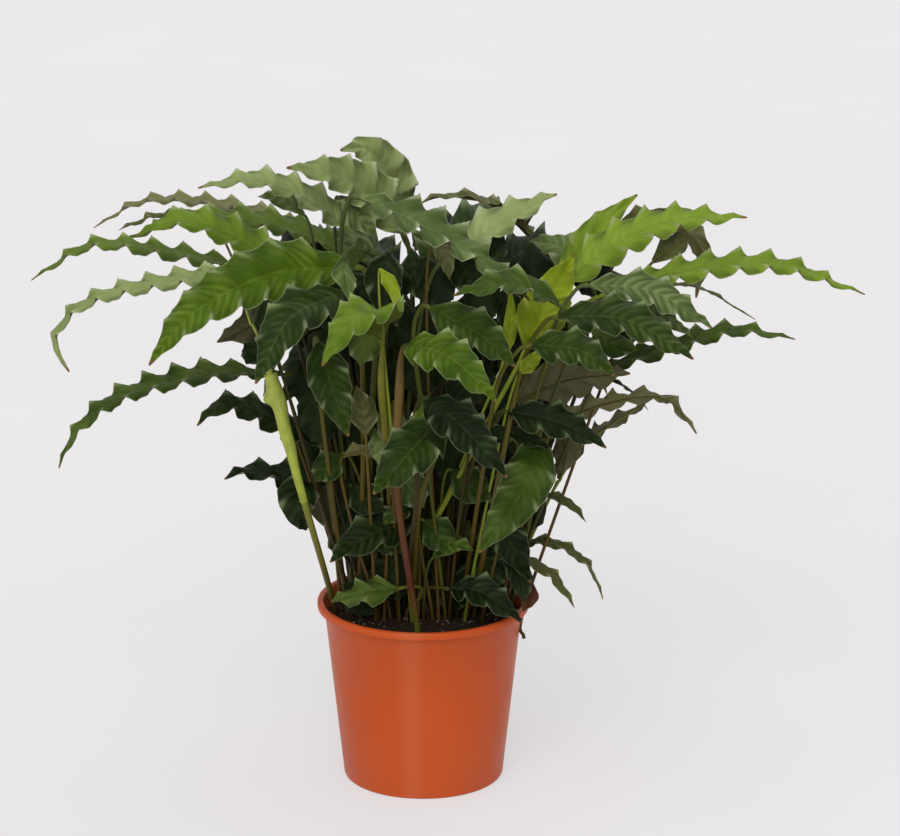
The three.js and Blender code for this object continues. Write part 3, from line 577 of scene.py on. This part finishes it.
def inner_leaf(rib, width, lean, root, draw):
    """A leaf as leaves_of gives it, grown along a rib of three points."""
    rib = [Vector(point) * MM for point in rib]
    length = (rib[1] - rib[0]).length + (rib[2] - rib[1]).length
    swing = max(width * MM, length / 5)
    last = 2 * max(2, round(length / 2 / INNER_WAVE))
    middle = [through(rib, 2 * k / last) for k in range(last + 1)]
    lean = math.radians(lean)
    hint = Vector((0, -math.sin(lean), math.cos(lean)))
    ups, sides = [], ([], [])
    for k, (centre, along) in enumerate(zip(middle, runs_of(middle))):
        up = (hint - along * hint.dot(along)).normalized()
        ups.append(up)
        t = k / last
        half = width / 2 * MM * outline(t)
        wave = 0
        if k not in (0, last):
            wave = (INNER_CREST if k % 2 else INNER_TROUGH) * swing * draw.uniform(0.6, 1.2)
        for side, sign in zip(sides, (-1, 1)):
            side.append(centre + along.cross(up) * half * sign + up * wave + along * half * FORWARD)
    foot = Vector((*root, ROOT_HEIGHT + ROOT_RISE))
    bend = middle[0] - (middle[1] - middle[0]).normalized() * INNER_NECK
    stalk = [Vector((*root, ROOT_HEIGHT)), *(bowed(foot, bend, middle[0], t) for t in INNER_RINGS)]
    radii = [radius * MM * (0.75 + width / 120) for radius in INNER_RADII]
    return SimpleNamespace(stalk=stalk, radii=radii, sides=sides, middle=middle, up=ups)


ROOT_ROOM = 6 * MM
ROOT_CIRCLE = 80 * MM
ROOT_FRONT = -30 * MM
SPIRAL_STEPS = 400
SPIRAL_TURN = 2.4
SPIRAL_STEP = 1.5 * MM


def free_root(near, taken):
    """The first place, in a widening spiral, that keeps clear of the other stalks' feet."""
    for step in range(SPIRAL_STEPS):
        turn = Vector((math.cos(step * SPIRAL_TURN), math.sin(step * SPIRAL_TURN)))
        spot = near + turn * math.sqrt(step) * SPIRAL_STEP
        inside = spot.length < ROOT_CIRCLE and spot.y > ROOT_FRONT
        if inside and all((spot - other).length > ROOT_ROOM for other in taken):
            taken.append(spot)
            return spot
    return near


def through(points, t):
    """A smooth curve through the points, at t counted in points from the first."""
    i = min(int(t), len(points) - 2)
    f = t - i
    a, b = points[i], points[i + 1]
    before = points[i - 1] if i else a * 2 - b
    after = points[i + 2] if i + 2 < len(points) else b * 2 - a
    square = before * 2 - a * 5 + b * 4 - after
    cube = a * 3 - before - b * 3 + after
    return (a * 2 + (b - before) * f + square * f**2 + cube * f**3) * 0.5


def levelled(points):
    """The points with every second one's wave taken out."""
    inner = [(a + b * 2 + c) / 4 for a, b, c in zip(points, points[1:], points[2:])]
    return [points[0], *inner, points[-1]]


def cusped(offsets, t):
    """Between offsets that rise at odd numbers: a sharp crest there, and a round trough between."""
    i = min(int(t), len(offsets) - 2)
    f = t - i
    share = math.sin(f * math.pi / 2) if i % 2 else 1 - math.cos(f * math.pi / 2)
    return offsets[i].lerp(offsets[i + 1], share)


def runs_of(points):
    """The way that the points run, at each of them."""
    return [(b - a).normalized() for a, b in zip([points[0], *points], [*points[1:], points[-1]])]


def smooth_step(x):
    """From 0 at 0 to 1 at 1, level at both ends."""
    x = max(0.0, min(1.0, x))
    return x * x * (3 - 2 * x)


# The places of the materials on a leaf.
TOP, UNDERSIDE, STALK = 0, 1, 2
# How finely a large leaf is laid out: steps from one ring of its CAD leaf to the next, and across it.
LARGE_STEPS = (8, 16)
SMALL_STEPS = (6, 10)
BLADE_THICKNESS = 0.45 * MM
# The waves run aslant, this many rings ahead at the midrib, and are higher than the CAD leaf's by this.
WAVE_SWEEP = 0.7
WAVE_GAIN = 1.3
# Each crest also stands out to the side and leans towards the tip, as shares of half the width.
TOOTH = 0.05
LEAN_TO_TIP = 0.12
# A finer ripple rides on the margin.
CRINKLE = 0.04
LEAST_CRINKLE = 0.7 * MM
CRINKLE_CREST = 4
# The pleats over the veins, at their full height on a blade that is wide enough.
PLEAT = 0.85 * MM
PLEAT_ROOM = 15 * MM
# The two halves arch up from the midrib, and draw in towards the tip.
ARCH = 0.13
TIP_START = 0.7
TIP_PINCH = 0.15


class Blade:
    """The form of one blade, from across (-1 to 1) and along (0 to 1)."""

    def __init__(self, leaf, draw):
        self.leaf = leaf
        self.last = len(leaf.middle) - 1
        self.bases = [levelled(side) for side in leaf.sides]
        self.waves = [[p - q for p, q in zip(side, base)] for side, base in zip(leaf.sides, self.bases)]
        self.teeth = [[draw.uniform(0.4, 1.3) for _ in range(self.last + 2)] for _ in range(2)]
        self.phase = [draw.uniform(-0.3, 0.3) for _ in range(2)]
        self.length = sum((b - a).length for a, b in zip(leaf.middle, leaf.middle[1:]))
        self.halves = [(a - b).length / 2 for a, b in zip(*self.bases)]

    def crest(self, side, t):
        """1 at the point of a wave's crest, less at a trough's, and 0 between."""
        near = round(t)
        size = self.teeth[side][near] * (1 if near % 2 else 0.8)
        return size * (1 - 2 * abs(t - near)) ** 1.5

    def ripple(self, across, t):
        """How far the blade waves off its level at this point, and its finer ripple there."""
        side = 0 if across < 0 else 1
        share = abs(across)
        ahead = min(self.last, t + WAVE_SWEEP * (1 - share))
        ends = min(1, 2 * t / self.last, 3 * (1 - t / self.last))
        fine = math.cos(2 * math.pi * (ahead + self.phase[side])) * CRINKLE * share * share * ends
        return cusped(self.waves[side], ahead) * WAVE_GAIN * share**1.2, fine

    def vein(self, across, along):
        """How many veins lie between the base and this point, counted along the sweep of the veins."""
        half = through(self.halves, along * self.last)
        return (along * self.length - VEIN_SWEEP * half * abs(across) ** 1.3) / VEIN_SPACING

    def heading(self, t):
        """The way that the midrib runs at t."""
        before, after = max(0, t - 0.1), min(self.last, t + 0.1)
        return (through(self.leaf.middle, after) - through(self.leaf.middle, before)).normalized()

    def place(self, across, along):
        """Where this point of the blade lies."""
        leaf, t = self.leaf, along * self.last
        side = 0 if across < 0 else 1
        share = abs(across)
        middle = through(leaf.middle, t)
        up = through(leaf.up, t).normalized()
        reach = through(self.bases[side], t) - middle
        half = reach.length
        reach *= 1 - TIP_PINCH * smooth_step((along - TIP_START) / (1 - TIP_START)) ** 1.3
        crest = self.crest(side, t)
        forward = self.heading(t)
        wave, fine = self.ripple(across, t)
        point = middle + reach * share * (1 + TOOTH * crest * share**3) + wave
        point += up * (half + LEAST_CRINKLE / CRINKLE) * fine
        point += up * half * ARCH * math.sin(math.pi * share) * (1 - share * 0.4)
        pleat = math.sin(2 * math.pi * self.vein(across, along)) * min(1, 3 * share) * (1.1 - share)
        point += up * pleat * PLEAT * min(1, half / PLEAT_ROOM)
        return point + forward * half * LEAN_TO_TIP * crest * share**3

    def height(self, across, along):
        """The wave's height at a point, as a share of the highest."""
        wave, fine = self.ripple(across, along * self.last)
        highest = max(w.length for w in self.waves[0]) or 1
        return wave.dot(through(self.leaf.up, along * self.last)) / highest + fine * CRINKLE_CREST


def lay_grid(bm, rows, columns, place, uv, values):
    """A grid laid where place says, with the map and the values that uv and values give, each for shares
    of its columns and rows from 0 to 1. Returns its faces."""
    layer = bm.loops.layers.uv.verify()
    made = bmesh.ops.create_grid(bm, x_segments=columns, y_segments=rows, size=0.5)["verts"]
    faces = list({face for vert in made for face in vert.link_faces})
    for face in faces:
        face.smooth = True
        for loop in face.loops:
            loop[layer].uv = uv(loop.vert.co.x + 0.5, loop.vert.co.y + 0.5)
    for vert in made:
        across, along = vert.co.x + 0.5, vert.co.y + 0.5
        for name, value in values(across, along).items():
            vert[bm.verts.layers.float[name]] = value
        vert.co = place(across, along)
    return faces


def add_blade(bm, leaf, shade, draw, steps, columns):
    """The blade: its upper face, and a thin wall below it that is closed round the margin."""
    blade = Blade(leaf, draw)
    faces = lay_grid(
        bm,
        blade.last * steps,
        columns,
        lambda across, along: blade.place(across * 2 - 1, along),
        lambda across, along: (across * 2 - 1, blade.vein(across * 2 - 1, along)),
        lambda across, along: {
            "reach": along,
            "shade": shade,
            "crest": blade.height(across * 2 - 1, along),
        },
    )
    for face in faces:
        face.normal_update()
        face.material_index = TOP
    if sum(face.normal.dot(leaf.up[blade.last // 2]) for face in faces) < 0:
        bmesh.ops.reverse_faces(bm, faces=faces)
    before = set(bm.faces)
    bmesh.ops.solidify(bm, geom=faces, thickness=BLADE_THICKNESS)
    for face in set(bm.faces) - before:
        face.material_index = UNDERSIDE


def add_tube(bm, path, radii, sides, shade):
    """A closed tube along a path of points, in the stalk's material."""
    runs = runs_of(path)
    side = runs[0].orthogonal().normalized()
    frames = []
    for run in runs:
        side = (side - run * side.dot(run)).normalized()
        frames.append((side.copy(), run.cross(side)))

    def place(turn, along):
        i = round(along * (len(path) - 1))
        angle = 2 * math.pi * turn
        return path[i] + (frames[i][0] * math.cos(angle) + frames[i][1] * math.sin(angle)) * radii[i]

    faces = lay_grid(
        bm,
        len(path) - 1,
        sides,
        place,
        lambda turn, along: (turn, along),
        lambda turn, along: {"reach": along, "shade": shade},
    )
    for face in faces:
        face.material_index = STALK
    verts = list({vert for face in faces for vert in face.verts})
    bmesh.ops.remove_doubles(bm, verts=verts, dist=1e-6)
    rims = [edge for edge in bm.edges if edge.is_boundary]
    bmesh.ops.holes_fill(bm, edges=rims, sides=sides)


STALK_STEPS = 30
RIB_STEPS = 24
STALK_SIDES = 8
STALK_SLIM = 0.95
# The joint lies this far below the blade and is this long, in rings of the stalk.
JOINT_BELOW = 0.28
JOINT_LENGTH = 0.16
JOINT_SWELL = 0.25
RIB_RADIUS = 1.3 * MM
RIB_TIP_RADIUS = 0.2 * MM
RIB_TAPER = 0.8
RIB_SINK = 0.95


def hump(distance, width):
    """1 at no distance, falling to nothing over about twice the width."""
    return math.exp(-((distance / width) ** 2))


def radius_at(leaf, t):
    """The stalk's radius at t, counted in rings from its foot."""
    i = min(int(t), len(leaf.radii) - 2)
    return leaf.radii[i] + (leaf.radii[i + 1] - leaf.radii[i]) * min(1, t - i)


def add_stalk(bm, leaf, shade, slim):
    """The stalk, with the swollen joint below the blade, running on under the blade as its midrib."""
    points = leaf.stalk + [leaf.middle[0]]
    path, radii = [], []
    for step in range(STALK_STEPS):
        t = step / STALK_STEPS * (len(points) - 1)
        path.append(through(points, t))
        joint = hump(t - (len(points) - 1 - JOINT_BELOW), JOINT_LENGTH)
        radii.append(radius_at(leaf, t) * slim * (1 + JOINT_SWELL * joint))
    neck = radii[-1]
    last = len(leaf.middle) - 1
    for step in range(RIB_STEPS + 1):
        share = step / RIB_STEPS
        up = through(leaf.up, share * last).normalized()
        radius = min(neck, RIB_RADIUS) * (1 - share) ** RIB_TAPER + RIB_TIP_RADIUS
        path.append(through(leaf.middle, share * last) - up * radius * RIB_SINK)
        radii.append(radius)
    add_tube(bm, path, radii, STALK_SIDES, shade)


# The heights between which a broad open sheath clasps the stalk, which is slimmer there.
SHEATHS = {"leaf_left_5": (306 * MM, 425 * MM)}
SHEATHED_SLIM = 0.72
SHEATH_STEPS = 60
SHEATH_SIDES = 20
# How far it wraps round to each side, and then its widths, as shares of the stalk's radius in the solid.
SHEATH_WRAP = math.radians(125)
SHEATH_FIT = 0.78
SHEATH_FLARE = 0.75
SHEATH_WAVE = 0.14
SHEATH_WAVES = 17
# The ear on its left edge: how far it stands out, where, and how long it is.
EAR = 1.3
EAR_AT = 0.76
EAR_LENGTH = 0.05


def at_height(points, z):
    """How far along the points their curve first rises to z."""
    return next(step / 50 for step in range(50 * len(points)) if through(points, step / 50).z > z)


def add_sheath(bm, leaf, shade, low, high):
    """A thin trough round the front of the stalk, waved along both edges, with an ear at the left."""
    points = leaf.stalk + [leaf.middle[0]]
    start, end = at_height(points, low), at_height(points, high)

    def place(across, along):
        t = start + (end - start) * along
        run = (through(points, t + 0.05) - through(points, t - 0.05)).normalized()
        side = run.cross(Vector((0, -1, 0))).normalized()
        front = side.cross(run)
        turn = (2 * across - 1) * SHEATH_WRAP
        edge = abs(2 * across - 1) ** 3
        flare = SHEATH_FLARE * smooth_step(along * 1.4)
        flare += SHEATH_WAVE * math.sin(along * SHEATH_WAVES + across * 2) * smooth_step(along * 3)
        if across < 0.5:
            flare += EAR * hump(along - EAR_AT, EAR_LENGTH)
        out = radius_at(leaf, t) * (SHEATH_FIT + flare * edge)
        return through(points, t) + (side * math.sin(turn) + front * math.cos(turn)) * out

    faces = lay_grid(
        bm,
        SHEATH_STEPS,
        SHEATH_SIDES,
        place,
        lambda across, along: (across, along),
        lambda across, along: {"reach": 0.3 + 0.3 * along, "shade": shade},
    )
    for face in faces:
        face.material_index = STALK
    bmesh.ops.solidify(bm, geom=faces, thickness=BLADE_THICKNESS)


def new_bmesh():
    """An empty mesh that can hold what the leaf materials read."""
    bm = bmesh.new()
    for name in ("reach", "shade", "crest"):
        bm.verts.layers.float.new(name)
    return bm


# How pale each of these leaves is, partly its age and partly painted light: new growth is palest, and
# leaves that reach into the light are painted paler. The others draw theirs between the two shares below.
SHADES = {
    "leaf_right_1": 1.5,
    "leaf_right_2": 1.4,
    "leaf_right_4": 1.2,
    "leaf_left_4": 1.0,
    "leaf_front_1": 0.9,
    "leaf_left_6": 0.5,
    "leaf_front_4": 0.35,
    "leaf_right_5": 0.35,
    "leaf_front_9": 0.8,
    "leaf_left_1": 1.1,
    "leaf_left_5": 1.2,
    "leaf_right_8": 1.0,
    "leaf_top_1": 1.6,
    "leaf_top_2": 1.1,
    "leaf_top_3": 1.2,
    "leaf_top_4": 0.6,
    "leaf_top_5": 1.4,
    "leaf_left_2": 1.3,
    "leaf_left_3": 1.0,
    "leaf_left_10": 0.8,
    "leaf_left_11": 0.6,
    "leaf_left_9": 0.9,
    "leaf_right_7": 0.3,
    "leaf_low_2": 1.0,
}
LARGE_SHADES = (0.2, 0.7)
SMALL_SHADES = (0.3, 0.9)
# Leaves of the crown given the paler grey tone as painted light and sheen from above.
PALE_IN_PAINTED_LIGHT = {"leaf_top_2": "grey", "leaf_top_3": "grey", "leaf_top_4": "grey"}


def make_leaf(node, leaves, palette, draw):
    """The leaves of one CAD node, as one piece in its place."""
    materials = palette[PALE_IN_PAINTED_LIGHT.get(node, SLOT_OF[node].removeprefix("leaf_"))]
    bm = new_bmesh()
    for leaf in leaves:
        shade = SHADES.get(node, draw.uniform(*LARGE_SHADES))
        add_stalk(bm, leaf, shade, SHEATHED_SLIM if node in SHEATHS else STALK_SLIM)
        if node in SHEATHS:
            add_sheath(bm, leaf, shade, *SHEATHS[node])
        add_blade(bm, leaf, shade, draw, *LARGE_STEPS)
    if node in OWN_STALKS:
        materials = (*materials[:STALK], stalk_material("stalk_of_" + node, *OWN_STALKS[node]))
    piece = finish_piece("calathea_" + node, bm, materials)
    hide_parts(node)


def make_inner_leaves(tone, rows, taken, materials, draw):
    """The small leaves of one tone, as one piece. taken are the places of the stalks' feet so far."""
    bm = new_bmesh()
    for _, width, lean, *rib in rows:
        root = free_root(Vector(rib[0][:2]) * 0.45 * MM, taken)
        leaf = inner_leaf(rib, width, lean, root, draw)
        shade = draw.uniform(*SMALL_SHADES)
        add_stalk(bm, leaf, shade, 1)
        add_blade(bm, leaf, shade, draw, *SMALL_STEPS)
    piece = finish_piece("inner_leaves_" + tone, bm, materials)


CREASE = 1.0


def finish_piece(name, bm, materials):
    """The mesh as an object that rides with the plant, shaded sharp where it folds by more than CREASE,
    in radians."""
    for edge in bm.edges:
        edge.smooth = len(edge.link_faces) < 2 or edge.calc_face_angle() < CREASE
    mesh = bpy.data.meshes.new(name)
    bm.to_mesh(mesh)
    bm.free()
    for material in materials:
        mesh.materials.append(material)
    piece = bpy.data.objects.new(name, mesh)
    bpy.context.scene.collection.objects.link(piece)
    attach(piece, "root")
    return piece


# Pot and soil


RIM_RADIUS = 105 * MM
POT_HEIGHT = 183 * MM
LIP_HEIGHT = 7.5 * MM
LIP_OVERHANG = 6 * MM
FOOT_RADIUS = 79 * MM
WALL = 2 * MM
BASE = 2.5 * MM
POT_STEPS = 128
SOIL_TOP = 168 * MM
# The soil stops a little short of the pot, and rises by this much over its outer rings.
SOIL_GAP = 0.7 * MM
SOIL_CROWN = 3 * MM
SOIL_RINGS = 44
RISING_RINGS = 14
SOIL_STEPS = 160
# Clods and crumbs on the soil: their heights, and how many to a metre.
CLODS = (1.8, 160)
CRUMBS = (1.2, 420)
SOIL_SINK = 1.4


def wall_radius(z):
    """The outside of the pot's wall at height z."""
    return FOOT_RADIUS + (RIM_RADIUS - LIP_OVERHANG - FOOT_RADIUS) * z / POT_HEIGHT


def spun(bm, profile, steps):
    """A profile of (radius, height), from axis to axis, turned once about the upright axis."""
    verts = [bm.verts.new((r, 0, z)) for r, z in profile]
    edges = [bm.edges.new(pair) for pair in zip(verts, verts[1:])]
    turn = {"cent": (0, 0, 0), "axis": (0, 0, 1), "angle": 2 * math.pi}
    bmesh.ops.spin(bm, geom=verts + edges, steps=steps, use_merge=True, **turn)
    bmesh.ops.remove_doubles(bm, verts=bm.verts, dist=1e-5)
    bmesh.ops.recalc_face_normals(bm, faces=bm.faces)
    for face in bm.faces:
        face.smooth = True


def make_pot(material):
    """The pot: up the outside from a rounded foot, round the lip with its eased edges, and down inside."""
    under = POT_HEIGHT - LIP_HEIGHT
    bm = bmesh.new()
    profile = [
        (0, 0),
        (FOOT_RADIUS - 3 * MM, 0),
        (FOOT_RADIUS - 1.6 * MM, 0.3 * MM),
        (FOOT_RADIUS - 0.6 * MM, 1.2 * MM),
        (wall_radius(3 * MM), 3 * MM),
        (wall_radius(90 * MM), 90 * MM),
        (wall_radius(under - 1 * MM), under - 1 * MM),
        (wall_radius(under) + 0.8 * MM, under),
        (RIM_RADIUS - 1.2 * MM, under),
        (RIM_RADIUS - 0.3 * MM, under + 0.5 * MM),
        (RIM_RADIUS, under + 1.4 * MM),
        (RIM_RADIUS, POT_HEIGHT - 2 * MM),
        (RIM_RADIUS - 0.6 * MM, POT_HEIGHT - 0.6 * MM),
        (RIM_RADIUS - 2 * MM, POT_HEIGHT),
        (wall_radius(POT_HEIGHT) + 2 * MM, POT_HEIGHT),
        (wall_radius(POT_HEIGHT) + 0.4 * MM, POT_HEIGHT - 0.5 * MM),
        (wall_radius(POT_HEIGHT) - 0.5 * MM, POT_HEIGHT - 2 * MM),
        (wall_radius(BASE) - WALL, BASE),
        (0, BASE),
    ]
    spun(bm, profile, POT_STEPS)
    piece = finish_piece("nursery_pot", bm, [material])
    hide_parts("pot")


def soil_radius(z):
    """The outside of the soil at height z."""
    return wall_radius(z) - WALL - SOIL_GAP


def make_soil(material):
    """The soil, its top in many rings so that it can be lumpy."""
    bm = bmesh.new()
    foot = BASE + SOIL_GAP / 2
    edge = soil_radius(SOIL_TOP)
    rings = []
    for i in range(SOIL_RINGS + 1):
        rings.append((edge * (1 - i / SOIL_RINGS), SOIL_TOP + SOIL_CROWN * smooth_step(i / RISING_RINGS)))
    spun(bm, [(0, foot), (soil_radius(foot), foot), *rings], SOIL_STEPS)
    for vert in bm.verts:
        if vert.co.z > SOIL_TOP - 1 * MM and vert.co.xy.length < edge - 1 * MM:
            bumps = sum(height * noise.noise(vert.co * pitch) for height, pitch in (CLODS, CRUMBS))
            vert.co.z += (bumps - SOIL_SINK) * MM
    piece = finish_piece("compost", bm, [material])
    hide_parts("soil")


BITS_MARGIN = 6 * MM
CHIPPED = 0.35


def make_bits(name, count, flatness, sizes, material, draw):
    """Small angular bits of these sizes, in millimetres, strewn over the soil."""
    bm = bmesh.new()
    edge = wall_radius(SOIL_TOP) - WALL - BITS_MARGIN
    for _ in range(count):
        size = draw.uniform(*sizes) * MM
        turn, out = draw.uniform(0, 2 * math.pi), edge * math.sqrt(draw.random())
        spot = Vector((math.cos(turn) * out, math.sin(turn) * out, SOIL_TOP + SOIL_CROWN))
        verts = bmesh.ops.create_icosphere(bm, subdivisions=1, radius=size)["verts"]
        stretch = draw.uniform(1, 1.8)
        spin = Euler((draw.uniform(-0.4, 0.4), draw.uniform(-0.4, 0.4), turn)).to_matrix()
        for vert in verts:
            chip = 1 + CHIPPED * noise.noise(vert.co / size + spot * 90)
            local = Vector((vert.co.x * stretch, vert.co.y, vert.co.z * flatness)) * chip
            vert.co = spot + spin @ local
    piece = finish_piece(name, bm, [material])


FLOOR_HALF = 6


def make_floor(material):
    """A plain floor, wide enough to fill the view."""
    bm = bmesh.new()
    bmesh.ops.create_grid(bm, x_segments=2, y_segments=2, size=FLOOR_HALF)
    mesh = bpy.data.meshes.new("floor")
    bm.to_mesh(mesh)
    bm.free()
    mesh.materials.append(material)
    floor = bpy.data.objects.new("floor", mesh)
    bpy.context.scene.collection.objects.link(floor)


SEED = 17

stand_camera()
light_studio()
make_floor(floor_material())
make_pot(pot_material())
make_soil(soil_material())
palette = leaf_materials()
draw = random.Random(SEED)
shoots = {node: leaves_of(node) for node in LEAF_NODES}
for node, leaves in shoots.items():
    make_leaf(node, leaves, palette, draw)
roots = [leaf.stalk[0].xy for leaves in shoots.values() for leaf in leaves]
inner_rows = INNER_LEAVES + shaded_leaves(draw)
for tone in sorted({row[0] for row in inner_rows}):
    make_inner_leaves(tone, [row for row in inner_rows if row[0] == tone], roots, palette[tone], draw)
make_bits("perlite", 80, 0.6, (0.35, 0.8), grit_material("expanded_perlite", 0x8e8674, 0xc8c0ae), draw)
make_bits("bark_bits", 90, 0.45, (0.7, 2.0), grit_material("composted_bark", 0x2a1a10, 0x5e4028), draw)
